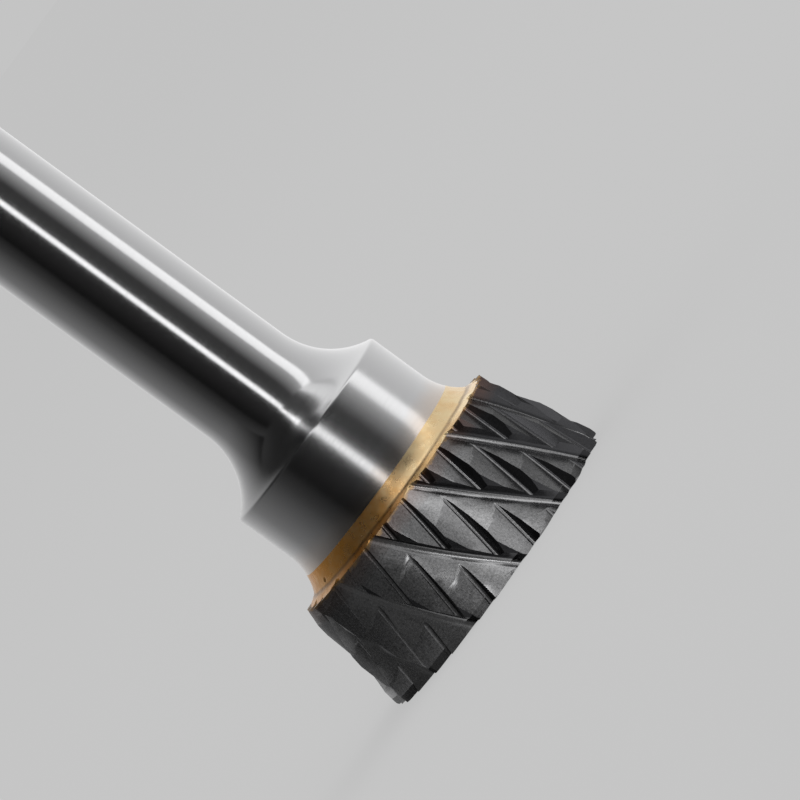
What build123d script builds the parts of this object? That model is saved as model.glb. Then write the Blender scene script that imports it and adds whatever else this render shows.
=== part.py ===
"""Carbide burr with an inverted cone head: a cemented carbide head, double cut, brazed to a steel shank.

The tool axis is Z. The flat end of the head lies on z = 0, and the shank points up, towards +Z.
Angles round the axis are measured in degrees from -Y towards +X.
"""

import os
from math import asin, cos, degrees, radians, sin, sqrt, tan

from build123d import *

# Driving dimensions, in millimetres and degrees.

HEAD_DIAMETER = 16.0  # over the cutting edges, at the flat end
HEAD_LENGTH = 6.1
CONE_HALF_ANGLE = 9.5  # the head narrows towards the shank
RIM_CHAMFER = 0.12  # breaks the cutting edges at the flat end
GRINDING_ALLOWANCE = 0.05  # left on the blank, outside the cutting edges

SHANK_DIAMETER = 6.0
OVERALL_LENGTH = 51.0
SHANK_END_CHAMFER = 0.5

COLLAR_DIAMETER = 10.54
COLLAR_START = 8.3  # from the flat end to where the collar becomes parallel
COLLAR_LENGTH = 2.94
NECK_RADIUS = 3.0  # hollow between the head and the collar
FLARE_RADIUS = 3.85  # hollow between the collar and the shank

BRAZE_THICKNESS = 0.9  # what shows of the brazed seam, along the axis
BRAZE_FOOT_SPREAD = 0.36  # how far the braze has run out over the back of the head
BRAZE_FOOT_HEIGHT = 0.24

MAIN_TEETH = 28  # right-hand teeth, which do the cutting
MAIN_HELIX = 12.5
MAIN_DEPTH = 0.6
MAIN_RAKE_SHARE = 0.20  # share of the pitch between a gullet and the cutting edge above it
MAIN_HEEL_SHARE = 0.11  # share of the pitch where the back drops into the next gullet
MAIN_HEEL_DEPTH = 0.40
MAIN_START = 3.0  # where one gullet meets the flat end

CROSS_CUTS = 13  # left-hand cuts, which break the chips
CROSS_HELIX = 30.5
CROSS_DEPTH = 0.80
CROSS_WALL_SHARE = 0.085  # share of the pitch taken by the steep wall of a cut
CROSS_WALL_TOP_DEPTH = 0.14
CROSS_PEAK_SHARE = 0.31  # share of the pitch between a cut and the peak above it
CROSS_HEEL_SHARE = 0.13  # share of the pitch where the slope drops into the next cut
CROSS_HEEL_DEPTH = 0.52
CROSS_START = 8.3

LOFT_STEP = 2.0  # between the sections that a helical cut is lofted through
LOFT_MARGIN = 0.5  # how far the lofts run past what they cut
PEAK_CLEARANCE = 0.08  # how far the ridges between cross cuts stay outside the cutting edges

# Sizes that follow from those above.

head_radius = HEAD_DIAMETER / 2
shank_radius = SHANK_DIAMETER / 2
collar_radius = COLLAR_DIAMETER / 2
collar_end = COLLAR_START + COLLAR_LENGTH
neck_start = HEAD_LENGTH + BRAZE_THICKNESS
mean_radius = head_radius - HEAD_LENGTH / 2 * tan(radians(CONE_HALF_ANGLE))


def cone_radius(z):
    """Radius over the cutting edges, at height z."""
    return head_radius - z * tan(radians(CONE_HALF_ANGLE))


def hollow_radius(z):
    """Radius of the hollow neck between the head and the collar, at height z."""
    reach = COLLAR_START - z
    return collar_radius + NECK_RADIUS - sqrt(NECK_RADIUS**2 - reach**2)


def point_round_axis(angle, radius, z):
    """A point at an angle measured from -Y towards +X."""
    return Vector(radius * sin(radians(angle)), -radius * cos(radians(angle)), z)


def cut_section(z, teeth, start, twist, tooth_corners):
    """Closed saw-toothed outline of one set of cuts, at height z."""
    pitch = 360 / teeth
    corners = []
    for tooth in range(teeth):

        def corner(pitch_share, depth):
            angle = start + twist * z + pitch * (tooth + pitch_share)
            return point_round_axis(angle, cone_radius(z) - depth, z)

        corners += tooth_corners(corner)
    return Wire.make_polygon(corners, close=True)


def main_tooth(corner):
    """Corners of a main tooth: its gullet, its cutting edge and the heel of its back."""
    return [
        corner(0, MAIN_DEPTH),
        corner(MAIN_RAKE_SHARE, 0),
        corner(1 - MAIN_HEEL_SHARE, MAIN_HEEL_DEPTH),
    ]


def cross_tooth(corner):
    """Corners of a cross cut and its ridge: the bottom, the steep wall's top, the peak and the heel."""
    return [
        corner(0, CROSS_DEPTH),
        corner(CROSS_WALL_SHARE, CROSS_WALL_TOP_DEPTH),
        corner(CROSS_PEAK_SHARE, -PEAK_CLEARANCE),
        corner(1 - CROSS_HEEL_SHARE, CROSS_HEEL_DEPTH),
    ]


def cut_blank(teeth, start, helix, tooth_corners):
    """Everything that one set of cuts leaves, as a solid lofted through twisted sections."""
    twist = degrees(tan(radians(helix)) / mean_radius)
    bottom = -LOFT_MARGIN
    top = neck_start + LOFT_MARGIN
    spans = round((top - bottom) / LOFT_STEP)
    sections = []
    for index in range(spans + 1):
        z = bottom + (top - bottom) * index / spans
        sections.append(cut_section(z, teeth, start, twist, tooth_corners))
    return Solid.make_loft(sections, ruled=True)


def turned(outline):
    """Solid of revolution round Z, from a closed outline in the XZ plane."""
    return revolve(make_face(outline), Axis.Z)


def make_head_blank():
    """Sintered and ground blank, before its teeth are cut."""
    rim_radius = cone_radius(0) + GRINDING_ALLOWANCE
    back_radius = cone_radius(HEAD_LENGTH) + GRINDING_ALLOWANCE
    chamfer_inner = cone_radius(0) - RIM_CHAMFER
    chamfer_top = rim_radius - chamfer_inner
    outline = Plane.XZ * Polyline(
        (0, 0),
        (chamfer_inner, 0),
        (rim_radius, chamfer_top),
        (back_radius, HEAD_LENGTH),
        (0, HEAD_LENGTH),
        close=True,
    )
    return turned(outline)


def neck_arc(start, end):
    """The hollow neck's outline between two heights."""
    middle = (start + end) / 2
    return ThreePointArc(
        (hollow_radius(start), start),
        (hollow_radius(middle), middle),
        (hollow_radius(end), end),
    )


def make_braze_ring():
    """Brazed seam, whose outer face carries on the hollow neck and spreads into a foot on the head."""
    foot_top = HEAD_LENGTH + BRAZE_FOOT_HEIGHT
    foot_radius = hollow_radius(HEAD_LENGTH) + BRAZE_FOOT_SPREAD
    foot_middle = (
        hollow_radius(foot_top) + (foot_radius - hollow_radius(foot_top)) * 0.42,
        HEAD_LENGTH + BRAZE_FOOT_HEIGHT * 0.40,
    )
    foot = ThreePointArc((foot_radius, HEAD_LENGTH), foot_middle, (hollow_radius(foot_top), foot_top))
    rest = Polyline(
        (hollow_radius(neck_start), neck_start),
        (0, neck_start),
        (0, HEAD_LENGTH),
        (foot_radius, HEAD_LENGTH),
    )
    return turned(Plane.XZ * (foot + neck_arc(foot_top, neck_start) + rest))


def make_shank():
    """Steel shank with its collar and hollow neck, turned in one piece and ground."""
    flare_rise = collar_radius - shank_radius
    flare_reach = sqrt(FLARE_RADIUS**2 - (FLARE_RADIUS - flare_rise) ** 2)
    flare_end = collar_end + flare_reach
    flare_turn = asin(flare_reach / FLARE_RADIUS) / 2
    flare_middle = (
        shank_radius + FLARE_RADIUS * (1 - cos(flare_turn)),
        flare_end - FLARE_RADIUS * sin(flare_turn),
    )
    outline = (
        neck_arc(neck_start, COLLAR_START)
        + Line((collar_radius, COLLAR_START), (collar_radius, collar_end))
        + ThreePointArc((collar_radius, collar_end), flare_middle, (shank_radius, flare_end))
        + Polyline(
            (shank_radius, flare_end),
            (shank_radius, OVERALL_LENGTH - SHANK_END_CHAMFER),
            (shank_radius - SHANK_END_CHAMFER, OVERALL_LENGTH),
            (0, OVERALL_LENGTH),
            (0, neck_start),
            (hollow_radius(neck_start), neck_start),
        )
    )
    return turned(Plane.XZ * outline)


main_cut = cut_blank(MAIN_TEETH, MAIN_START, MAIN_HELIX, main_tooth)
cross_cut = cut_blank(CROSS_CUTS, CROSS_START, -CROSS_HELIX, cross_tooth)

# The teeth are ground after brazing, so their gullets run out through the edge of the seam.
pieces = {
    "cutting_head": make_head_blank() & main_cut & cross_cut,
    "brazed_seam": make_braze_ring() & main_cut & cross_cut,
    "shank": make_shank(),
}

os.makedirs("parts", exist_ok=True)
for name, piece in pieces.items():
    export_step(piece, f"parts/{name}.step")
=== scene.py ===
"""Carbide burr with an inverted cone head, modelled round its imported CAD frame.

The tool axis is Z. The flat end of the head lies on z = 0 and the shank points up.
Angles round the axis are measured from -Y towards +X. Sizes are in metres.
"""

from math import asin, atan2, cos, degrees, pi, radians, sin, sqrt, tan

import bmesh
import bpy
from bpy.props import FloatProperty, FloatVectorProperty, IntProperty, PointerProperty
from mathutils import Matrix, Vector


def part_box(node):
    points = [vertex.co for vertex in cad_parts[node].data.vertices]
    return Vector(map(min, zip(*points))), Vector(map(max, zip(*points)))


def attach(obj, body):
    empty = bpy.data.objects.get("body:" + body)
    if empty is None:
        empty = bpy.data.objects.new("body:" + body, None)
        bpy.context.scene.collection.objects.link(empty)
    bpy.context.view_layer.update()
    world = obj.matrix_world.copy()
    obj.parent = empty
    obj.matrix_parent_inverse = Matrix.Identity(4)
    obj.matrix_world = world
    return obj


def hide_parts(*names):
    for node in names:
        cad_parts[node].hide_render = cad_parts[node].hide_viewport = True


bl_info = {
    "name": "Carbide burr",
    "version": (1, 0, 0),
    "blender": (4, 5, 0),
    "location": "3D View > Sidebar > Burr",
    "description": "Models a brazed carbide burr with a double-cut inverted cone head",
    "category": "Add Mesh",
}

MM = 0.001
FACTOR, FIRST_COLOUR, SECOND_COLOUR, MIXED_COLOUR = 0, 6, 7, 2  # sockets of a Mix node set to colours

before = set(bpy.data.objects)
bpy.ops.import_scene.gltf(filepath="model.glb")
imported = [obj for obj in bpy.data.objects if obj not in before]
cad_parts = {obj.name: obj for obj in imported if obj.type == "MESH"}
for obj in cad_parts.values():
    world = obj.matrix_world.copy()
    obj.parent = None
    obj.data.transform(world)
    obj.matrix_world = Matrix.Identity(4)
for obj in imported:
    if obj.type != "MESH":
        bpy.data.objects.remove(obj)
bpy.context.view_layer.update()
head_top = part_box("cutting_head")[1].z
seam_bottom, seam_top = [corner.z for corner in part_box("brazed_seam")]
neck_foot, tool_end = [corner.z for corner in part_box("shank")]


# Colours and nodes


def linear(hex_colour):
    """An sRGB hex colour as linear red, green and blue."""
    channels = []
    for start in (1, 3, 5):
        value = int(hex_colour[start : start + 2], 16) / 255
        if value <= 0.04045:
            channels.append(value / 12.92)
        else:
            channels.append(((value + 0.055) / 1.055) ** 2.4)
    return tuple(channels)


def add_node(tree, kind, inputs=None, **settings):
    """Adds a node with its settings. An input is either a value or another node's socket."""
    node = tree.nodes.new("ShaderNode" + kind)
    for name, value in settings.items():
        setattr(node, name, value)
    for socket, value in (inputs or {}).items():
        if isinstance(value, bpy.types.NodeSocket):
            tree.links.new(value, node.inputs[socket])
        else:
            node.inputs[socket].default_value = value
    return node


def new_material(name):
    """An empty node material and its tree."""
    material = bpy.data.materials.new(name)
    material.use_nodes = True
    material.node_tree.nodes.clear()
    return material, material.node_tree


def rgba(colour):
    """A colour property as the four numbers that a colour socket takes."""
    return (colour[0], colour[1], colour[2], 1.0)


# Sizes and colours that a user would change


class HeadSettings(bpy.types.PropertyGroup):
    """Cemented carbide head with its two sets of cuts"""

    diameter: FloatProperty(
        name="Diameter", description="Over the cutting edges, at the flat end",
        default=16.0 * MM, min=4 * MM, unit="LENGTH", precision=5,
    )
    length: FloatProperty(
        name="Length", description="From the flat end to the brazed seam",
        default=head_top, min=2 * MM, unit="LENGTH", precision=5,
    )
    cone_half_angle: FloatProperty(
        name="Cone half angle", description="How much the head narrows towards the shank",
        default=radians(9.5), subtype="ANGLE",
    )
    rim_chamfer: FloatProperty(
        name="Rim chamfer", description="Breaks the cutting edges at the flat end",
        default=0.12 * MM, unit="LENGTH", precision=5,
    )
    main_teeth: IntProperty(
        name="Main teeth", description="Right-hand teeth that do the cutting", default=28, min=6
    )
    main_helix: FloatProperty(
        name="Main helix", description="Lean of the main teeth", default=radians(12.5), subtype="ANGLE"
    )
    cross_cuts: IntProperty(
        name="Cross cuts", description="Left-hand cuts that break the chips", default=13, min=3
    )
    cross_helix: FloatProperty(
        name="Cross helix", description="Lean of the cross cuts", default=radians(30.5), subtype="ANGLE"
    )
    main_gullet_radius: FloatProperty(
        name="Main gullet radius", description="Rounding at the bottom between the main teeth",
        default=0.18 * MM, unit="LENGTH", precision=5,
    )
    cross_gullet_radius: FloatProperty(
        name="Cross gullet radius", description="Rounding at the bottom of each cross cut",
        default=0.38 * MM, unit="LENGTH", precision=5,
    )
    # Painted light: the cross backs, which look upwards, are lighter than the main backs, partly by finish.
    main_back: FloatVectorProperty(
        name="Main backs", description="Backs that the main teeth keep", subtype="COLOR",
        default=linear("#989899"), min=0, max=1,
    )
    cross_back: FloatVectorProperty(
        name="Cross backs", description="Slopes that the cross cuts leave", subtype="COLOR",
        default=linear("#B6B6B7"), min=0, max=1,
    )
    # Painted shade: the rake colour darkens the cutting faces and the walls of the gullets.
    rake: FloatVectorProperty(
        name="Rake", description="Smooth dark cutting faces and walls", subtype="COLOR",
        default=linear("#4C4C4E"), min=0, max=1,
    )
    # Partly a burnished bottom and partly a painted highlight that brightens the gullet lines.
    gullet: FloatVectorProperty(
        name="Gullet", description="Burnished bottoms of the gullets", subtype="COLOR",
        default=linear("#F4F4F5"), min=0, max=1,
    )
    temper: FloatVectorProperty(
        name="Temper", description="Tint that brazing leaves on the carbide", subtype="COLOR",
        default=linear("#7C5646"), min=0, max=1,
    )


class SeamSettings(bpy.types.PropertyGroup):
    """Brazed seam between the head and the neck"""

    groove_depth: FloatProperty(
        name="Groove depth", description="Of the shrinkage line round the foot",
        default=0.022 * MM, unit="LENGTH", precision=5,
    )
    ripple: FloatProperty(
        name="Ripple", description="Height of the ripples that the braze froze with",
        default=0.008 * MM, min=0.001 * MM, unit="LENGTH", precision=5,
    )
    # Painted light and shade: the pale braze colour goes on the lit +X side, the rich one on the shaded -X
    # side.
    braze: FloatVectorProperty(
        name="Braze", description="Pale braze on the side away from the flame", subtype="COLOR",
        default=linear("#EBD3A6"), min=0, max=1,
    )
    braze_rich_and_shaded: FloatVectorProperty(
        name="Rich braze", description="Braze with more copper in it", subtype="COLOR",
        default=linear("#D99A4A"), min=0, max=1,
    )
    # Partly burnt flux and partly painted shade along the groove of the seam.
    flux_and_groove_shade: FloatVectorProperty(
        name="Flux stain", description="Burnt flux left in the groove", subtype="COLOR",
        default=linear("#5E4126"), min=0, max=1,
    )


class ShankSettings(bpy.types.PropertyGroup):
    """Steel shank with its collar and hollow neck"""

    diameter: FloatProperty(
        name="Diameter", description="Of the shank", default=6.0 * MM, unit="LENGTH", precision=5
    )
    overall_length: FloatProperty(
        name="Overall length", description="Of the whole tool",
        default=tool_end, unit="LENGTH", precision=5,
    )
    end_chamfer: FloatProperty(
        name="End chamfer", description="At the free end of the shank",
        default=0.5 * MM, unit="LENGTH", precision=5,
    )
    collar_diameter: FloatProperty(
        name="Collar diameter", description="Of the parallel collar",
        default=10.54 * MM, unit="LENGTH", precision=5,
    )
    collar_start: FloatProperty(
        name="Collar start", description="From the flat end of the head",
        default=8.3 * MM, unit="LENGTH", precision=5,
    )
    collar_length: FloatProperty(
        name="Collar length", description="Of the parallel part",
        default=2.94 * MM, unit="LENGTH", precision=5,
    )
    neck_radius: FloatProperty(
        name="Neck radius", description="Hollow between the head and the collar",
        default=3.0 * MM, unit="LENGTH", precision=5,
    )
    flare_radius: FloatProperty(
        name="Flare radius", description="Hollow between the collar and the shank",
        default=3.85 * MM, unit="LENGTH", precision=5,
    )
    edge_radius: FloatProperty(
        name="Edge radius", description="Rounding of the turned edges",
        default=0.10 * MM, unit="LENGTH", precision=5,
    )
    steel: FloatVectorProperty(
        name="Steel", description="Fine-ground tool steel", subtype="COLOR",
        default=linear("#D2D2D3"), min=0, max=1,
    )
    # Partly heat tint and partly a painted reflection of the braze in the neck.
    heat_tint_and_braze_reflection: FloatVectorProperty(
        name="Heat tint", description="Straw tint that brazing leaves on the neck", subtype="COLOR",
        default=linear("#D9C2AC"), min=0, max=1,
    )


class StageSettings(bpy.types.PropertyGroup):
    """Floor, reflector cards and camera"""

    backdrop: FloatVectorProperty(
        name="Backdrop", description="Colour of the floor and the surroundings", subtype="COLOR",
        default=linear("#C4C4C4"), min=0, max=1,
    )
    camera_distance: FloatProperty(
        name="Camera distance", description="From the camera to what it looks at",
        default=400 * MM, unit="LENGTH",
    )
    camera_elevation: FloatProperty(
        name="Camera elevation", description="Above the horizon", default=radians(3.75), subtype="ANGLE"
    )
    camera_roll: FloatProperty(
        name="Camera roll", description="Turn round the line of sight",
        default=radians(53.9), subtype="ANGLE",
    )


# Modelling steps that several pieces share


def toward(azimuth, radius, height):
    """A point round the axis, at an angle measured from -Y towards +X."""
    return Vector((radius * sin(azimuth), -radius * cos(azimuth), height))


def pick_nothing():
    """Leaves edit mode and deselects every object."""
    if bpy.context.object and bpy.context.object.mode != "OBJECT":
        bpy.ops.object.mode_set(mode="OBJECT")
    bpy.ops.object.select_all(action="DESELECT")


def pick(piece):
    """Selects one object and makes it active."""
    pick_nothing()
    piece.select_set(True)
    bpy.context.view_layer.objects.active = piece


def pick_points(piece, wanted):
    """In edit mode, selects the points whose place passes the test."""
    mesh = bmesh.from_edit_mesh(piece.data)
    for point in mesh.verts:
        point.select = wanted(point.co)
    mesh.select_flush_mode()
    bmesh.update_edit_mesh(piece.data)


def resize_round_axis(factor, height):
    """Scales the selection towards or away from the tool axis."""
    bpy.ops.transform.resize(value=(factor, factor, 1), center_override=(0, 0, height))


def turn_round_axis(angle, height):
    """Turns the selection round the tool axis, counter-clockwise seen from above."""
    bpy.ops.transform.rotate(value=-angle, orient_axis="Z", center_override=(0, 0, height))


def new_disc(name, corners, radius, height):
    """A flat disc across the tool axis, in edit mode with its face selected."""
    pick_nothing()
    bpy.ops.mesh.primitive_circle_add(vertices=corners, radius=radius, fill_type="NGON")
    disc = bpy.context.object
    disc.name = name
    disc.data.name = name
    bpy.ops.object.mode_set(mode="EDIT")
    bpy.ops.transform.translate(value=(0, 0, height))
    return disc


def face_outwards(piece):
    """Points every face of a closed mesh outwards and leaves edit mode."""
    bpy.ops.mesh.select_all(action="SELECT")
    bpy.ops.mesh.normals_make_consistent(inside=False)
    bpy.ops.object.mode_set(mode="OBJECT")


def turn_on_lathe(name, outline, corners):
    """A closed turned piece, extruded as a ring through each radius and height of its outline."""
    radius, height = outline[0]
    piece = new_disc(name, corners, radius, height)
    for next_radius, next_height in outline[1:]:
        bpy.ops.mesh.extrude_region_move(
            TRANSFORM_OT_translate={"value": (0, 0, next_height - height)}
        )
        if abs(next_radius - radius) > 1e-9:
            resize_round_axis(next_radius / radius, next_height)
        radius, height = next_radius, next_height
    face_outwards(piece)
    return piece


def apply_modifier(piece, kind, **settings):
    """Adds a modifier, sets it and applies it."""
    pick(piece)
    bpy.ops.object.modifier_add(type=kind)
    modifier = piece.modifiers[-1]
    for name, value in settings.items():
        setattr(modifier, name, value)
    bpy.ops.object.modifier_apply(modifier=modifier.name)


def finish_piece(piece, node, smooth_angle):
    """Shades a finished piece and ties it to its body and the CAD node it stands for."""
    pick(piece)
    bpy.ops.object.shade_smooth_by_angle(angle=smooth_angle)
    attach(piece, "root")
    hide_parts(node)


# Shape of the head's cuts

FACES = ("gullet", "rake", "main_back", "cross_back", "heel")  # what the two outlines are made of
# One main tooth and one cross cut, corner by corner: share of the pitch, depth, and the face that follows.
MAIN_CORNERS = [
    (0, 0.60 * MM, "rake"),  # bottom of the gullet
    (0.20, 0, "main_back"),  # cutting edge
    (0.55, 0.165 * MM, "main_back"),
    (0.89, 0.40 * MM, "main_back"),  # where the back drops into the next gullet
]
CROSS_CORNERS = [
    (0, 0.80 * MM, "rake"),  # bottom of the cut
    (0.085, 0.14 * MM, "rake"),  # top of the steep wall
    (0.31, -0.08 * MM, "cross_back"),  # outside the head, so that the main teeth keep their backs here
    (0.60, 0.20 * MM, "cross_back"),
    (0.87, 0.52 * MM, "heel"),
]
MAIN_START, CROSS_START = radians(3.0), radians(8.3)  # where one gullet of each set meets z = 0
CORE_BOTTOM = -0.5 * MM  # the cores start below the flat end, so that no two faces coincide
CORE_RINGS = 24  # enough for the teeth to follow their helix smoothly


def cone_radius(head, z):
    """Radius over the cutting edges, at height z."""
    return head.diameter / 2 - z * tan(head.cone_half_angle)


def rounded_corner(before, corner, after, radius, points):
    """The points of an arc that rounds a corner of a flat outline."""
    to_before = (before - corner).normalized()
    to_after = (after - corner).normalized()
    half = to_before.angle(to_after) / 2
    middle = corner + (to_before + to_after).normalized() * radius / sin(half)
    start = (corner + to_before * radius / tan(half) - middle).normalized()
    end = (corner + to_after * radius / tan(half) - middle).normalized()
    return [middle + start.slerp(end, index / (points - 1)) * radius for index in range(points)]


def tooth_outline(pitch_length, corners, radius):
    """One tooth as shares of the pitch, depths and the face that follows, its gullet as an arc."""
    flat = [Vector((share * pitch_length, depth)) for share, depth, _ in corners]
    before = flat[-1] - Vector((pitch_length, 0))
    half = 4
    arc = rounded_corner(before, flat[0], flat[1], radius, points=2 * half + 1)
    # The half of the arc next to the back is burnished and a painted highlight, the other half painted
    # shade.
    faces = ["gullet"] * half + ["rake"] * half + [face for _, _, face in corners]
    return [(point.x / pitch_length, point.y, face) for point, face in zip(arc + flat[1:], faces)]


def make_toothed_core(name, head, teeth, start, twist, outline, top, finishes):
    """All that one set of cuts leaves: a toothed disc, extruded, turned and narrowed ring by ring."""
    pitch = 2 * pi / teeth
    per_tooth = len(outline)
    bottom = CORE_BOTTOM
    core = new_disc(name, teeth * per_tooth, cone_radius(head, bottom), bottom)

    def corner_at(place):
        """Which corner of the tooth's outline a point belongs to."""
        share = (atan2(place.x, -place.y) - start - twist * place.z) / pitch
        gaps = [abs((share - corner[0] + 0.5) % 1 - 0.5) for corner in outline]
        return gaps.index(min(gaps))

    def spot(place):
        """A point's place, rounded so that it can be found again."""
        return tuple(round(c, 9) for c in place)

    # The first ring: each corner goes to its share of the pitch and its depth.
    first = {}
    for index, point in enumerate(bmesh.from_edit_mesh(core.data).verts):
        first.setdefault(index % per_tooth, set()).add(spot(point.co))
    for index, (share, depth, _) in enumerate(outline):
        places = first[index]
        pick_points(core, lambda place: spot(place) in places)
        turn_round_axis(start + twist * bottom + pitch * (share - index / per_tooth) + pi, bottom)
        radius = cone_radius(head, bottom)
        resize_round_axis((radius - depth) / radius, bottom)
    bpy.ops.mesh.select_all(action="SELECT")

    step = (top - bottom) / CORE_RINGS
    for ring in range(CORE_RINGS):
        height = bottom + step * (ring + 1)
        bpy.ops.mesh.extrude_region_move(TRANSFORM_OT_translate={"value": (0, 0, step)})
        turn_round_axis(twist * step, height)
        lower, upper = cone_radius(head, height - step), cone_radius(head, height)
        for index, (_, depth, _) in enumerate(outline):
            pick_points(
                core, lambda place: abs(place.z - height) < step / 4 and corner_at(place) == index
            )
            resize_round_axis((upper - depth) / (lower - depth), height)
        pick_points(core, lambda place: abs(place.z - height) < step / 4)
    face_outwards(core)

    # Each face of a tooth takes the finish that the wheel leaves there.
    names = list(finishes)
    for finish in finishes.values():
        core.data.materials.append(finish)
    for face in core.data.polygons:
        share = (atan2(face.center.x, -face.center.y) - start - twist * face.center.z) / pitch % 1
        passed = [name for at, _, name in outline if at % 1 <= share]
        face.material_index = names.index(passed[-1] if passed else outline[-1][2])
    return core


def make_cores(head, top, main_finishes, cross_finishes):
    """The cores that the main teeth and the cross cuts leave."""
    mean_radius = cone_radius(head, head.length / 2)
    cores = []
    for name, teeth, start, lean, corners, gullet_radius, finishes in (
        (
            "main_core", head.main_teeth, MAIN_START, head.main_helix,
            MAIN_CORNERS, head.main_gullet_radius, main_finishes,
        ),
        (
            "cross_core", head.cross_cuts, CROSS_START, -head.cross_helix,
            CROSS_CORNERS, head.cross_gullet_radius, cross_finishes,
        ),
    ):
        outline = tooth_outline(2 * pi * mean_radius / teeth, corners, gullet_radius)
        twist = tan(lean) / mean_radius
        cores.append(make_toothed_core(name, head, teeth, start, twist, outline, top, finishes))
    return cores


def keep_inside(piece, cores):
    """Cuts the piece down to what lies inside every core."""
    for core in cores:
        apply_modifier(
            piece, "BOOLEAN", operation="INTERSECT", object=core, solver="EXACT", material_mode="TRANSFER"
        )


# Finishes


def ground_steel(shank, collar_end):
    """Fine-ground tool steel.

    Bright and slightly blurred, with fine marks round the axis, and a straw tint where it was brazed,
    partly heat tint and partly a painted reflection of the braze.
    """
    material, tree = new_material("ground_tool_steel")
    place = add_node(tree, "TexCoord").outputs["Object"]
    # Grinding marks run round the axis. Real ones are about 0.02 mm apart, drawn 0.1 mm apart to show.
    marks_place = add_node(tree, "Mapping", {"Vector": place, "Scale": (400, 400, 10000)})
    marks = add_node(
        tree, "TexNoise", {"Vector": marks_place.outputs[0], "Scale": 1.0, "Detail": 3.0, "Roughness": 0.6}
    )
    grain = add_node(tree, "TexNoise", {"Vector": place, "Scale": 9000.0, "Detail": 2.0, "Roughness": 0.7})
    height = add_node(tree, "SeparateXYZ", {"Vector": place})
    wander = add_node(tree, "TexNoise", {"Vector": place, "Scale": 500.0, "Detail": 2.0})
    # The tint ends in an edge that wanders by up to 0.9 mm, and fades out over 1.7 mm.
    tint_edge = add_node(
        tree,
        "Math",
        {0: wander.outputs["Fac"], 1: 0.9 * MM, 2: height.outputs["Z"]},
        operation="MULTIPLY_ADD",
    )
    tint = add_node(
        tree,
        "MapRange",
        {
            "Value": tint_edge.outputs[0],
            "From Min": head_top + 0.9 * MM,
            "From Max": head_top + 2.6 * MM,
            "To Min": 0.75,
            "To Max": 0.0,
        },
    )
    colour = add_node(
        tree,
        "Mix",
        {FACTOR: tint.outputs[0], FIRST_COLOUR: rgba(shank.steel), SECOND_COLOUR: rgba(shank.heat_tint_and_braze_reflection)},
        data_type="RGBA",
    )
    # The collar and the neck are turned and not ground, so they are a little rougher than the shank.
    turned = add_node(
        tree,
        "MapRange",
        {
            "Value": height.outputs["Z"],
            "From Min": collar_end,
            "From Max": collar_end + 1.0 * MM,
            "To Min": 0.06,
            "To Max": 0.0,
        },
    )
    ground = add_node(
        tree,
        "MapRange",
        {
            "Value": marks.outputs["Fac"],
            "From Min": 0.3,
            "From Max": 0.7,
            "To Min": 0.11,
            "To Max": 0.16,
        },
    )
    rough = add_node(tree, "Math", {0: ground.outputs[0], 1: turned.outputs[0]}, operation="ADD")
    relief = add_node(
        tree, "Math", {0: grain.outputs["Fac"], 1: 0.9, 2: marks.outputs["Fac"]}, operation="MULTIPLY_ADD"
    )
    bump = add_node(tree, "Bump", {"Strength": 0.22, "Distance": 0.002 * MM, "Height": relief.outputs[0]})
    shader = add_node(
        tree,
        "BsdfPrincipled",
        {
            "Base Color": colour.outputs[MIXED_COLOUR],
            "Metallic": 1.0,
            "Roughness": rough.outputs[0],
            "Normal": bump.outputs[0],
        },
    )
    add_node(tree, "OutputMaterial", {"Surface": shader.outputs[0]})
    return material


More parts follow.
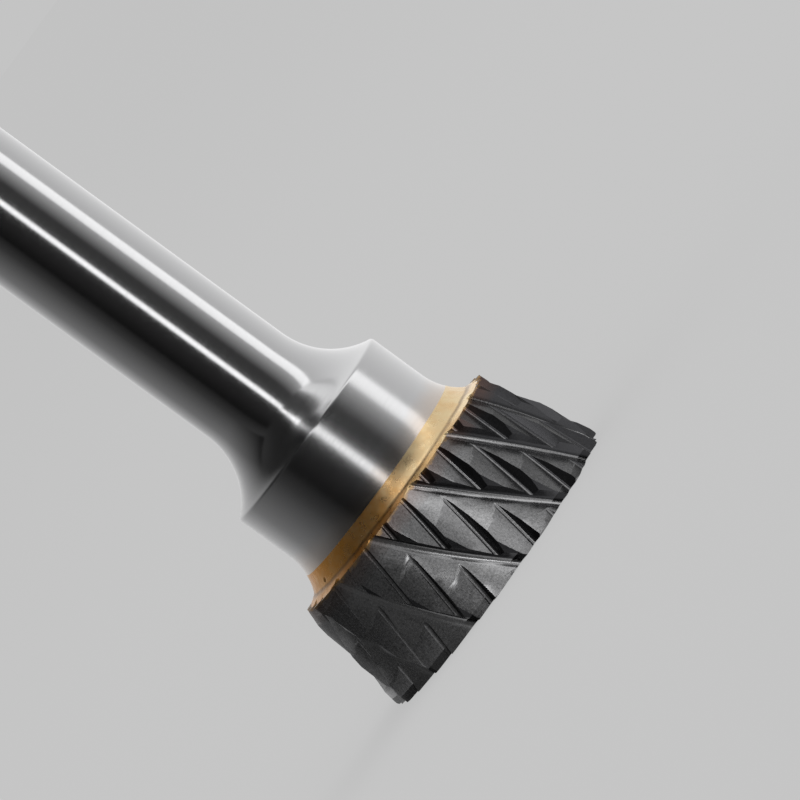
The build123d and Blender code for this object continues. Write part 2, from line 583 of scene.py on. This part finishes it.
def silver_braze(seam):
    """Silver braze as it froze.

    Pale gold on one side and richer on the other, a painted light and shade across the seam. Softly
    rippled and blurred, with a thin dark line along its groove that is partly burnt flux and partly painted
    shade.
    """
    material, tree = new_material("silver_braze")
    place = add_node(tree, "TexCoord").outputs["Object"]
    parts = add_node(tree, "SeparateXYZ", {"Vector": place})
    # Patches of richer alloy, about 1 mm across.
    patches = add_node(
        tree, "TexNoise", {"Vector": place, "Scale": 900.0, "Detail": 4.0, "Roughness": 0.65}
    )
    # Painted shade on the -X side and painted light on +X: rich to pale over 2.6 mm, broken by the patches.
    across = add_node(
        tree,
        "MapRange",
        {
            "Value": parts.outputs["X"],
            "From Min": -1.2 * MM,
            "From Max": 1.4 * MM,
            "To Min": 0.85,
            "To Max": 0.12,
        },
    )
    spread = add_node(
        tree,
        "MapRange",
        {
            "Value": patches.outputs["Fac"],
            "From Min": 0.3,
            "From Max": 0.7,
            "To Min": -0.25,
            "To Max": 0.3,
        },
    )
    richness_and_painted_light = add_node(
        tree, "Math", {0: across.outputs[0], 1: spread.outputs[0]}, operation="ADD", use_clamp=True
    )
    colour = add_node(
        tree,
        "Mix",
        {FACTOR: richness_and_painted_light.outputs[0], FIRST_COLOUR: rgba(seam.braze), SECOND_COLOUR: rgba(seam.braze_rich_and_shaded)},
        data_type="RGBA",
    )
    # Burnt flux and painted shade in the groove, 0.2 mm above the head, in a line that wanders by up to
    # 0.08 mm.
    wander = add_node(
        tree, "MapRange", {"Value": patches.outputs["Fac"], "To Min": -0.08 * MM, "To Max": 0.08 * MM}
    )
    line = add_node(tree, "Math", {0: parts.outputs["Z"], 1: wander.outputs[0]}, operation="ADD")
    above = add_node(tree, "Math", {0: line.outputs[0], 1: head_top + 0.20 * MM}, operation="SUBTRACT")
    gap = add_node(tree, "Math", {0: above.outputs[0]}, operation="ABSOLUTE")
    faded = add_node(
        tree,
        "MapRange",
        {
            "Value": gap.outputs[0],
            "From Min": 0.02 * MM,
            "From Max": 0.09 * MM,
            "To Min": 0.6,
            "To Max": 0.0,
        },
    )
    stained_and_shaded = add_node(
        tree,
        "Mix",
        {
            FACTOR: faded.outputs[0],
            FIRST_COLOUR: colour.outputs[MIXED_COLOUR],
            SECOND_COLOUR: rgba(seam.flux_and_groove_shade),
        },
        data_type="RGBA",
    )
    # Ripples about 0.4 mm across.
    ripples = add_node(
        tree, "TexNoise", {"Vector": place, "Scale": 2500.0, "Detail": 2.0, "Roughness": 0.5}
    )
    rough = add_node(
        tree,
        "MapRange",
        {
            "Value": ripples.outputs["Fac"],
            "From Min": 0.3,
            "From Max": 0.7,
            "To Min": 0.24,
            "To Max": 0.36,
        },
    )
    bump = add_node(
        tree, "Bump", {"Strength": 0.12, "Distance": 0.01 * MM, "Height": ripples.outputs["Fac"]}
    )
    shader = add_node(
        tree,
        "BsdfPrincipled",
        {
            "Base Color": stained_and_shaded.outputs[MIXED_COLOUR],
            "Metallic": 0.93,
            "Roughness": rough.outputs[0],
            "Normal": bump.outputs[0],
        },
    )
    add_node(tree, "OutputMaterial", {"Surface": shader.outputs[0]})
    return material


def ground_carbide(head, seam, name, colour, roughness, grain_strength, twist, streaks):
    """Cemented carbide as the wheel leaves it.

    Fine streaks along the cut and a speckle of grain, darker in its pores. Next to the seam the braze has
    wetted it in a thin ragged film, and the heat has tinted it.
    """
    material, tree = new_material(name)
    place = add_node(tree, "TexCoord").outputs["Object"]
    height = add_node(tree, "SeparateXYZ", {"Vector": place})
    # Turning the place back by the helix makes the streaks follow the cut.
    untwist = add_node(tree, "Math", {0: height.outputs["Z"], 1: -twist}, operation="MULTIPLY")
    along = add_node(
        tree, "VectorRotate", {"Vector": place, "Angle": untwist.outputs[0]}, rotation_type="Z_AXIS"
    )
    streak_place = add_node(tree, "Mapping", {"Vector": along.outputs[0], "Scale": streaks})
    marks = add_node(
        tree,
        "TexNoise",
        {"Vector": streak_place.outputs[0], "Scale": 1.0, "Detail": 3.0, "Roughness": 0.65},
    )
    # Carbide grains are a few microns across, drawn at 0.1 mm to show.
    grain = add_node(
        tree, "TexNoise", {"Vector": place, "Scale": 11000.0, "Detail": 3.0, "Roughness": 0.75}
    )
    blend = add_node(
        tree,
        "Math",
        {0: marks.outputs["Fac"], 1: 0.35, 2: grain.outputs["Fac"]},
        operation="MULTIPLY_ADD",
    )
    shade = add_node(
        tree,
        "MapRange",
        {
            "Value": blend.outputs[0],
            "From Min": 0.45,
            "From Max": 0.95,
            "To Min": grain_strength,
            "To Max": 0.0,
        },
    )
    mixed = add_node(
        tree,
        "Mix",
        {FACTOR: shade.outputs[0], FIRST_COLOUR: rgba(colour), SECOND_COLOUR: rgba(colour * 0.3)},
        data_type="RGBA",
    )
    # Below the seam the tint fades out over 1.1 mm and the film over 0.16 mm, both with an edge that
    # wanders by up to 0.6 mm in tongues about 0.4 mm wide.
    clouds = add_node(
        tree, "TexNoise", {"Vector": place, "Scale": 2600.0, "Detail": 4.0, "Roughness": 0.6}
    )
    edge = add_node(
        tree,
        "Math",
        {0: clouds.outputs["Fac"], 1: 0.6 * MM, 2: height.outputs["Z"]},
        operation="MULTIPLY_ADD",
    )
    tint = add_node(
        tree,
        "MapRange",
        {
            "Value": edge.outputs[0],
            "From Min": head.length - 0.7 * MM,
            "From Max": head.length + 0.4 * MM,
            "To Min": 0.0,
            "To Max": 0.4,
        },
    )
    tinted = add_node(
        tree,
        "Mix",
        {
            FACTOR: tint.outputs[0],
            FIRST_COLOUR: mixed.outputs[MIXED_COLOUR],
            SECOND_COLOUR: rgba(head.temper),
        },
        data_type="RGBA",
    )
    film = add_node(
        tree,
        "MapRange",
        {
            "Value": edge.outputs[0],
            "From Min": head.length + 0.16 * MM,
            "From Max": head.length + 0.32 * MM,
            "To Max": 0.8,
        },
    )
    thin_braze = (seam.braze_rich_and_shaded + seam.braze) * 0.35  # between the two, and darker over the carbide
    wetted = add_node(
        tree,
        "Mix",
        {
            FACTOR: film.outputs[0],
            FIRST_COLOUR: tinted.outputs[MIXED_COLOUR],
            SECOND_COLOUR: rgba(thin_braze),
        },
        data_type="RGBA",
    )
    rough = add_node(
        tree,
        "MapRange",
        {
            "Value": blend.outputs[0],
            "From Min": 0.45,
            "From Max": 0.95,
            "To Min": roughness - 0.05,
            "To Max": roughness + 0.05,
        },
    )
    bump = add_node(
        tree,
        "Bump",
        {"Strength": 0.4 * grain_strength, "Distance": 0.003 * MM, "Height": blend.outputs[0]},
    )
    shader = add_node(
        tree,
        "BsdfPrincipled",
        {
            "Base Color": wetted.outputs[MIXED_COLOUR],
            "Metallic": 1.0,
            "Roughness": rough.outputs[0],
            "Normal": bump.outputs[0],
        },
    )
    add_node(tree, "OutputMaterial", {"Surface": shader.outputs[0]})
    return material


# Stage

# The cards light the steel and the seam, and a ring of lamps lights the head, because dark carbide needs
# other light than bright steel.

# Wall cards: two azimuths in degrees, the brightness at each, and the height where it has faded.
WALL_CARDS = (
    ("wall_back_left", -180, -112, 0.80, 0.21, 140 * MM),
    ("wall_left", -112, -62, 0.21, 0.055, 140 * MM),
    ("wall_front_left", -62, -42, 0.05, 0.016),
    ("wall_front", -42, 2.5, 0.007, 0.03),
    ("wall_strip_front", 2.5, 11.5, 1.55, 1.55),
    ("wall_front_right", 11.5, 38, 0.06, 0.045),
    ("wall_half_right", 38, 67, 0.05, 0.46),
    ("wall_strip_right", 67, 86, 1.22, 1.45),
    ("wall_back_right", 86, 180, 0.60, 1.05),
)
# Ceiling cards: two places across the stage in millimetres, the brightness at each, height and turn.
CEILING_CARDS = (
    ("ceiling_far_left", -115, -60, 0.045, 0.022, 151 * MM, 0),
    ("ceiling_left", -60, 0, 0.022, 0.013, 151 * MM, 0),
    ("ceiling_strip", -3, 6.5, 1.9, 1.9, 150 * MM, radians(3)),
    ("ceiling_right", 90, 170, 0.62, 0.62, 155 * MM, radians(30)),
    ("ceiling_band", 60, 90, 1.02, 0.85, 155 * MM, radians(30)),
    ("ceiling_half", 46, 60, 0.22, 1.02, 155 * MM, radians(30)),
    ("ceiling_quarter", 28, 46, 0.065, 0.22, 155 * MM, radians(30)),
    ("ceiling_middle", 4, 115, 0.065, 0.065, 160 * MM, 0),
)
# Lamps in a ring round the head: azimuth in degrees and brightness.
HEAD_LAMPS = (
    (-145, 0.34), (-120, 0.18), (-95, 0.05), (-70, 0.05), (-45, 0.085), (-20, 0.075), (5, 0.09),
    (30, 0.46), (55, 1.10), (80, 0.50), (105, 0.32), (130, 0.20), (155, 0.17), (180, 0.36),
)
# Lamps over the seam, a broad one and a narrow bright one within it: two places across the stage in
# millimetres and brightness.
SEAM_LAMPS = (("seam_lamp", 3, 62, 0.62), ("seam_spark", 5, 11, 4.8))


def set_surroundings(backdrop):
    """The backdrop to the eye and to reflections, and a plain grey level as light."""
    world = bpy.data.worlds.new("studio")
    bpy.context.scene.world = world
    world.use_nodes = True
    tree = world.node_tree
    tree.nodes.clear()
    path = add_node(tree, "LightPath")
    seen = add_node(
        tree,
        "Math",
        {0: path.outputs["Is Camera Ray"], 1: path.outputs["Is Glossy Ray"]},
        operation="MAXIMUM",
    )
    light = add_node(tree, "Background", {"Color": (1, 1, 1, 1), "Strength": 0.9})
    view = add_node(tree, "Background", {"Color": backdrop})
    mixed = add_node(tree, "MixShader", {0: seen.outputs[0], 1: light.outputs[0], 2: view.outputs[0]})
    add_node(tree, "OutputWorld", {"Surface": mixed.outputs[0]})


def lay_floor(backdrop):
    """A floor of pale paper that keeps the tool's shadow and runs into the backdrop."""
    pick_nothing()
    bpy.ops.mesh.primitive_circle_add(vertices=96, radius=6, fill_type="NGON")
    floor = bpy.context.object
    floor.name = "floor"
    material, tree = new_material("floor_paper")
    # To the camera four fifths of the paper is its own even colour, and the last fifth takes the shadow.
    path = add_node(tree, "LightPath")
    share = add_node(tree, "Math", {0: path.outputs["Is Camera Ray"], 1: 0.8}, operation="MULTIPLY")
    paper = add_node(tree, "BsdfDiffuse", {"Color": backdrop})
    glow = add_node(tree, "Emission", {"Color": backdrop})
    mixed = add_node(tree, "MixShader", {0: share.outputs[0], 1: paper.outputs[0], 2: glow.outputs[0]})
    add_node(tree, "OutputMaterial", {"Surface": mixed.outputs[0]})
    floor.data.materials.append(material)
    floor.visible_glossy = False  # the walls reach below it, so that the collar stays clean


def glow_between(name, coordinate, start, end, first, last, fade_height=None):
    """A glowing card material whose brightness runs evenly between two places, and can fade upwards."""
    material, tree = new_material(name)
    place = add_node(tree, "SeparateXYZ", {"Vector": add_node(tree, "TexCoord").outputs["Object"]})
    along = place.outputs["X"]
    if coordinate == "AZIMUTH":
        ahead = add_node(tree, "Math", {0: place.outputs["Y"], 1: -1.0}, operation="MULTIPLY")
        along = add_node(tree, "Math", {0: along, 1: ahead.outputs[0]}, operation="ARCTAN2").outputs[0]
    level = add_node(
        tree,
        "MapRange",
        {"Value": along, "From Min": start, "From Max": end, "To Min": first, "To Max": last},
    ).outputs[0]
    if fade_height:
        fade_start, faded_share = 30 * MM, 0.12
        fade = add_node(
            tree,
            "MapRange",
            {
                "Value": place.outputs["Z"],
                "From Min": fade_start,
                "From Max": fade_height,
                "To Min": 1.0,
                "To Max": faded_share,
            },
        )
        level = add_node(tree, "Math", {0: level, 1: fade.outputs[0]}, operation="MULTIPLY").outputs[0]
    glow = add_node(tree, "Emission", {"Color": (1, 1, 1, 1), "Strength": level})
    add_node(tree, "OutputMaterial", {"Surface": glow.outputs[0]})
    return material


def set_card(card, material):
    """Makes a card part of the stage that only reflections see."""
    card.data.materials.append(material)
    card.visible_camera = False
    card.visible_diffuse = False
    card.visible_shadow = False
    card.light_linking.receiver_collection = bpy.data.collections["lit_by_cards"]


def add_wall_card(name, start, end, first, last, fade_height=None):
    """A curved card standing round the tool, between two azimuths in degrees."""
    radius, low, high = 110 * MM, -80 * MM, 160 * MM
    tolerance = 0.1  # degrees, where two points of the cylinder are 0.5 apart
    pick_nothing()
    bpy.ops.mesh.primitive_cylinder_add(
        vertices=720,
        radius=radius,
        depth=high - low,
        end_fill_type="NOTHING",
        location=(0, 0, (low + high) / 2),
    )
    card = bpy.context.object
    card.name = name
    bpy.ops.object.transform_apply(location=True, rotation=False, scale=False)
    bpy.ops.object.mode_set(mode="EDIT")
    pick_points(
        card,
        lambda place: not start - tolerance <= degrees(atan2(place.x, -place.y)) <= end + tolerance,
    )
    bpy.ops.mesh.delete(type="VERT")
    bpy.ops.object.mode_set(mode="OBJECT")
    set_card(card, glow_between(name, "AZIMUTH", radians(start), radians(end), first, last, fade_height))


def add_ceiling_card(name, start, end, first, last, height, turn):
    """A flat card over the tool, between two places across the stage in millimetres, turned about Z."""
    depth = 400 * MM
    pick_nothing()
    bpy.ops.mesh.primitive_plane_add(size=1, location=(0, 0, height))
    card = bpy.context.object
    card.name = name
    bpy.ops.object.mode_set(mode="EDIT")
    bpy.ops.transform.resize(value=((end - start) * MM, depth, 1))
    bpy.ops.transform.translate(value=((start + end) / 2 * MM, 0, 0))
    bpy.ops.object.mode_set(mode="OBJECT")
    card.rotation_euler.z = turn
    set_card(card, glow_between(name, "X", start * MM, end * MM, first, last))


def add_lamp(name, width, length, level, place, turn=(0, 0, 0), receivers=None):
    """An area lamp that is as bright as its level at any size, and round where it has no length."""
    data = bpy.data.lights.new(name, "AREA")
    data.size = width
    if length:
        data.shape = "RECTANGLE"
        data.size_y = length
        data.energy = level * 4 * data.size * data.size_y
    else:
        data.shape = "DISK"
        data.energy = level * pi * data.size**2
    lamp = bpy.data.objects.new(name, data)
    bpy.context.scene.collection.objects.link(lamp)
    lamp.location = place
    lamp.rotation_euler = turn
    lamp.visible_camera = False
    lamp.light_linking.receiver_collection = receivers
    return lamp


def hang_lamps(heads, seams):
    """A softbox over everything, a ring of lamps for the head and two lamps for the seam."""
    above = Vector((0.35, 0.1, 0.6))
    facing_down = above.to_track_quat("Z", "Y").to_euler()
    softbox = add_lamp("top_softbox", 0.4, None, 1, above, facing_down)
    softbox.data.energy = 1.2
    softbox.visible_glossy = False
    upright = radians(90)
    ring_radius, ring_height, width, length = 100 * MM, 50 * MM, 44 * MM, 110 * MM
    for azimuth, level in HEAD_LAMPS:
        place = toward(radians(azimuth), ring_radius, ring_height)
        turn = (upright, 0, radians(azimuth))
        add_lamp(f"head_lamp_{azimuth + 180}", width, length, level, place, turn, heads)
    # A narrow bright lamp for the glints on the teeth.
    glint = radians(10)
    place = toward(glint, 95 * MM, 35 * MM)
    add_lamp("head_spark", 8 * MM, 28 * MM, 6.6, place, (upright, 0, glint), heads)
    # What a pale floor throws back up at the head.
    add_lamp("floor_bounce", 48 * MM, None, 0.35, (0, 0, 0.4 * MM), (pi, 0, 0), heads)
    seam_lamp_height, seam_lamp_length = 140 * MM, 150 * MM
    for name, start, end, level in SEAM_LAMPS:
        place = ((start + end) / 2 * MM, 0, seam_lamp_height)
        add_lamp(name, (end - start) * MM, seam_lamp_length, level, place, receivers=seams)


def place_camera(stage):
    """Level with the head, and rolled so that the shank runs up to the left."""
    width, pixel = 800, 0.0469 * MM  # of the view, and what one pixel covers at the tool
    aim_right, aim_up = 79.1 * pixel, 179.86 * pixel  # from the middle of the flat end
    elevation, roll = stage.camera_elevation, stage.camera_roll
    target = Vector((aim_right, 0, aim_up / cos(elevation)))
    back = Vector((0, -cos(elevation), sin(elevation)))
    rise = Vector((0, sin(elevation), cos(elevation)))
    side = Vector((1, 0, 0))
    up = sin(roll) * side + cos(roll) * rise
    right = cos(roll) * side - sin(roll) * rise
    data = bpy.data.cameras.new("camera")
    camera = bpy.data.objects.new("camera", data)
    bpy.context.scene.collection.objects.link(camera)
    stand = Matrix((right, up, back)).transposed().to_4x4()
    stand.translation = target + back * stage.camera_distance
    camera.matrix_world = stand
    data.lens = data.sensor_width * stage.camera_distance / (width * pixel)
    data.clip_start = 0.01
    data.clip_end = 100
    bpy.context.scene.camera = camera


# Operators, one for each piece and one for the stage


def hollow_radius(shank, z):
    """Radius of the hollow neck between the head and the collar, at height z."""
    reach = shank.collar_start - z
    return shank.collar_diameter / 2 + shank.neck_radius - sqrt(shank.neck_radius**2 - reach**2)


class BURR_OT_shank(bpy.types.Operator):
    """Turn the steel shank with its collar and hollow neck"""

    bl_idname = "burr.shank"
    bl_label = "Steel shank"

    def execute(self, context):
        shank = context.scene.burr_shank
        collar_radius = shank.collar_diameter / 2
        shank_radius = shank.diameter / 2
        collar_end = shank.collar_start + shank.collar_length
        outline = []
        neck_steps = 12  # each longer than the bevel of the neck's foot is wide
        for index in range(neck_steps + 1):
            z = neck_foot + (shank.collar_start - neck_foot) * index / neck_steps
            outline.append((hollow_radius(shank, z), z))
        outline.append((collar_radius, collar_end))
        rise = collar_radius - shank_radius
        flare_reach = sqrt(shank.flare_radius**2 - (shank.flare_radius - rise) ** 2)
        flare_end = collar_end + flare_reach
        turn = asin(flare_reach / shank.flare_radius)
        flare_steps = 20
        for index in range(1, flare_steps + 1):
            angle = turn * (1 - index / flare_steps)
            outline.append(
                (
                    shank_radius + shank.flare_radius * (1 - cos(angle)),
                    flare_end - shank.flare_radius * sin(angle),
                )
            )
        outline.append((shank_radius, shank.overall_length - shank.end_chamfer))
        outline.append((shank_radius - shank.end_chamfer, shank.overall_length))
        piece = turn_on_lathe("ground_steel_shank", outline, corners=256)
        apply_modifier(
            piece,
            "BEVEL",
            width=shank.edge_radius,
            segments=3,
            limit_method="ANGLE",
            angle_limit=radians(25),
        )
        piece.data.materials.append(ground_steel(shank, collar_end))
        bpy.data.collections["lit_by_cards"].objects.link(piece)
        finish_piece(piece, "shank", smooth_angle=radians(35))
        return {"FINISHED"}


class BURR_OT_seam(bpy.types.Operator):
    """Cast the brazed seam with its groove and its wetted edge"""

    bl_idname = "burr.seam"
    bl_label = "Brazed seam"

    def execute(self, context):
        shank = context.scene.burr_shank
        head = context.scene.burr_head
        seam = context.scene.burr_seam
        outline = []
        # The foot, where the braze has run out over the back of the head, with the groove in it.
        foot_height, foot_spread, foot_steps, groove_step = 0.32 * MM, 0.36 * MM, 8, 5
        for index in range(foot_steps + 1):
            share = index / foot_steps
            z = seam_bottom + foot_height * share
            dip = seam.groove_depth * max(0, 1 - abs(index - groove_step) / 2)
            outline.append((hollow_radius(shank, z) + foot_spread * (1 - share) ** 2 - dip, z))
        steps = 10
        for index in range(1, steps + 1):
            z = seam_bottom + foot_height + (seam_top - seam_bottom - foot_height) * index / steps
            outline.append((hollow_radius(shank, z), z))
        # The braze laps over the bevelled foot of the neck, a few microns proud of the steel.
        lap = seam_top + 1.4 * shank.edge_radius
        outline.append((hollow_radius(shank, lap) + 0.004 * MM, lap))
        piece = turn_on_lathe("brazed_seam_ring", outline, corners=288)
        # Slow ripples that the braze froze with, about 1 mm long, and one gas pore.
        cloud = bpy.data.textures.new("braze_ripples", "CLOUDS")
        cloud.noise_scale = 1.1 * MM
        apply_modifier(piece, "DISPLACE", texture=cloud, strength=seam.ripple * 2, mid_level=0.5)
        pick_nothing()
        pore_place = toward(radians(-61), 5.93 * MM, seam_bottom + 0.5 * MM)
        bpy.ops.mesh.primitive_ico_sphere_add(subdivisions=3, radius=0.17 * MM, location=pore_place)
        bubble = bpy.context.object
        apply_modifier(piece, "BOOLEAN", operation="DIFFERENCE", object=bubble, solver="EXACT")
        bpy.data.objects.remove(bubble)
        braze = silver_braze(seam)
        piece.data.materials.append(braze)
        faces = dict.fromkeys(FACES, braze)
        core_top = seam_top + 0.5 * MM
        cores = make_cores(head, core_top, faces, faces)
        keep_inside(piece, cores)
        for core in cores:
            bpy.data.objects.remove(core)
        bpy.data.collections["lit_by_cards"].objects.link(piece)
        bpy.data.collections["lit_by_seam_lamps"].objects.link(piece)
        finish_piece(piece, "brazed_seam", smooth_angle=radians(60))
        return {"FINISHED"}


class BURR_OT_head(bpy.types.Operator):
    """Grind the carbide head with its main teeth and cross cuts"""

    bl_idname = "burr.head"
    bl_label = "Carbide head"

    def execute(self, context):
        head = context.scene.burr_head
        seam = context.scene.burr_seam
        allowance = 0.05 * MM  # the blank stands proud of the cutting edges before it is ground
        rim = cone_radius(head, 0) + allowance
        inner = cone_radius(head, 0) - head.rim_chamfer
        outline = [
            (inner, 0),
            (rim, rim - inner),
            (cone_radius(head, head.length) + allowance, head.length),
        ]
        piece = turn_on_lathe("carbide_head", outline, corners=288)
        mean_radius = cone_radius(head, head.length / 2)
        # Colour, roughness and strength of the grain of each face.
        # The dark rake is painted shade and the bright gullet partly a painted highlight.
        # The lighter cross backs and heels are partly painted light from above.
        finishes = {
            "gullet": (head.gullet, 0.20, 0.2),
            "rake": (head.rake, 0.30, 0.4),
            "main_back": (head.main_back, 0.28, 0.9),
            "cross_back": (head.cross_back, 0.29, 0.9),
            "heel": (head.cross_back, 0.28, 0.6),
        }
        # Noise scales per metre along X, Y and Z. The flat end is ground in straight lines along X, and the
        # cuts along their helix. Real streaks are about 0.02 mm apart, drawn 0.1 mm apart to show.
        flat_streaks, cut_streaks = (400, 12000, 400), (12000, 12000, 700)
        flat = ground_carbide(
            head, seam, "carbide_flat", head.main_back,
            roughness=0.36, grain_strength=0.22, twist=0, streaks=flat_streaks,
        )
        piece.data.materials.append(flat)
        sets = []
        for name, lean in (("main", head.main_helix), ("cross", -head.cross_helix)):
            twist = tan(lean) / mean_radius
            cut_finishes = {}
            for face, finish in finishes.items():
                cut_finishes[face] = ground_carbide(
                    head, seam, f"carbide_{name}_{face}", *finish, twist, cut_streaks
                )
            sets.append(cut_finishes)
        core_top = head.length + 0.9 * MM
        cores = make_cores(head, core_top, *sets)
        keep_inside(piece, cores)
        for core in cores:
            bpy.data.objects.remove(core)
        bpy.data.collections["lit_by_all_lamps"].objects.link(piece)
        finish_piece(piece, "cutting_head", smooth_angle=radians(20))
        return {"FINISHED"}


class BURR_OT_stage(bpy.types.Operator):
    """Lay the floor, stand the cards, hang the lamps and place the camera"""

    bl_idname = "burr.stage"
    bl_label = "Stage and camera"

    def execute(self, context):
        stage = context.scene.burr_stage
        backdrop = rgba(stage.backdrop)
        set_surroundings(backdrop)
        lay_floor(backdrop)
        bpy.data.collections.new("lit_by_cards")
        heads = bpy.data.collections.new("lit_by_all_lamps")
        seams = bpy.data.collections.new("lit_by_seam_lamps")
        for card in WALL_CARDS:
            add_wall_card(*card)
        for card in CEILING_CARDS:
            add_ceiling_card(*card)
        hang_lamps(heads, seams)
        place_camera(stage)
        context.scene.view_settings.view_transform = "Standard"
        return {"FINISHED"}


class BURR_PT_pieces(bpy.types.Panel):
    """Pieces of the burr"""

    bl_idname = "BURR_PT_pieces"
    bl_label = "Carbide burr"
    bl_space_type = "VIEW_3D"
    bl_region_type = "UI"
    bl_category = "Burr"

    def draw(self, context):
        for settings, operator in (
            ("burr_shank", "burr.shank"),
            ("burr_seam", "burr.seam"),
            ("burr_head", "burr.head"),
            ("burr_stage", "burr.stage"),
        ):
            box = self.layout.box()
            group = getattr(context.scene, settings)
            for name in group.bl_rna.properties.keys():
                if name not in ("rna_type", "name"):
                    box.prop(group, name)
            box.operator(operator)


GROUPS = {
    "burr_head": HeadSettings,
    "burr_seam": SeamSettings,
    "burr_shank": ShankSettings,
    "burr_stage": StageSettings,
}
OTHER_CLASSES = (BURR_OT_shank, BURR_OT_seam, BURR_OT_head, BURR_OT_stage, BURR_PT_pieces)


def register():
    for name, group in GROUPS.items():
        bpy.utils.register_class(group)
        setattr(bpy.types.Scene, name, PointerProperty(type=group))
    for item in OTHER_CLASSES:
        bpy.utils.register_class(item)


def unregister():
    for item in reversed(OTHER_CLASSES):
        bpy.utils.unregister_class(item)
    for name, group in GROUPS.items():
        delattr(bpy.types.Scene, name)
        bpy.utils.unregister_class(group)


def main():
    register()
    bpy.ops.burr.stage()
    bpy.ops.burr.shank()
    bpy.ops.burr.seam()
    bpy.ops.burr.head()


if __name__ == "__main__":
    main()
